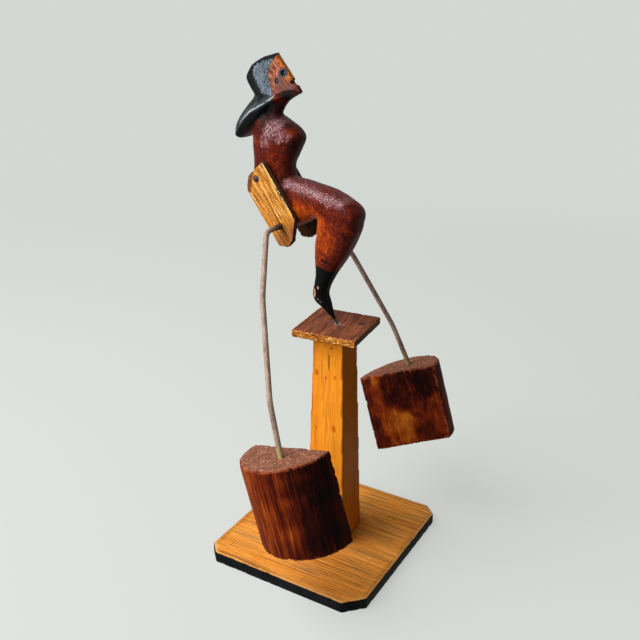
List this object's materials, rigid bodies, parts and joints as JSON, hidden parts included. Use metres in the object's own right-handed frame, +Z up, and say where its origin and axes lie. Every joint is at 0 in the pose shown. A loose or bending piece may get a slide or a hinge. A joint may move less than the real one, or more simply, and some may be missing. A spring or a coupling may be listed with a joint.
{
  "type": "balancing toy",
  "caption": "Carved wooden figure that balances on one toe on top of a post, held upright by two half-round wooden weights hung on bent wires below it.",
  "frame": {"origin": "middle of the base plate's underside", "axes": "+Z up along the post, +X the way the figure faces, +Y to the figure's left"},
  "size_m": [0.0855, 0.1243, 0.2117],
  "materials": {
    "base_ply": "satin",
    "post_pine": "gloss",
    "cap_hardwood": "satin",
    "figure_hardwood": "gloss",
    "slat_wood": "gloss",
    "weight_hardwood": "satin",
    "wire_steel": "matte",
    "nail_steel": "matte"
  },
  "bodies": {
    "stand": {"base_plate": "base_ply", "base_screw": "nail_steel", "post": "post_pine", "cap_plate": "cap_hardwood", "cap_brads": "nail_steel"},
    "toe_seat": {"seat_cup": "nail_steel"},
    "toe_ball": {"pivot_ball": "nail_steel"},
    "figure": {"figure": "figure_hardwood", "toe_pin": "nail_steel", "right_arm_nail": "nail_steel", "left_arm_nail": "nail_steel"},
    "right_arm": {"right_arm_slat": "slat_wood", "right_wire": "wire_steel", "right_weight": "weight_hardwood"},
    "left_arm": {"left_arm_slat": "slat_wood", "left_wire": "wire_steel", "left_weight": "weight_hardwood"}
  },
  "joints": [
    {"name": "figure_spin", "type": "hinge", "parent": "stand", "child": "toe_seat", "pos_m": [0.00393, 0.00164, 0.10735], "axis": [0, 0, 1], "continuous": true},
    {"name": "side_rock", "type": "hinge", "parent": "toe_seat", "child": "toe_ball", "pos_m": [0.00393, 0.00164, 0.10735], "axis": [0.9977, -0.068, 0], "range_deg": [-15, 15]},
    {"name": "fore_aft_rock", "type": "hinge", "parent": "toe_ball", "child": "figure", "pos_m": [0.00393, 0.00164, 0.10735], "axis": [0.068, 0.9977, 0], "range_deg": [-15, 15]},
    {"name": "right_arm_swing", "type": "hinge", "parent": "figure", "child": "right_arm", "pos_m": [-0.02992, -0.00522, 0.16475], "axis": [0.068, 0.9977, 0], "range_deg": [-15, 15]},
    {"name": "left_arm_swing", "type": "hinge", "parent": "figure", "child": "left_arm", "pos_m": [-0.02867, 0.01303, 0.16475], "axis": [0.068, 0.9977, 0], "range_deg": [-15, 15]}
  ]
}
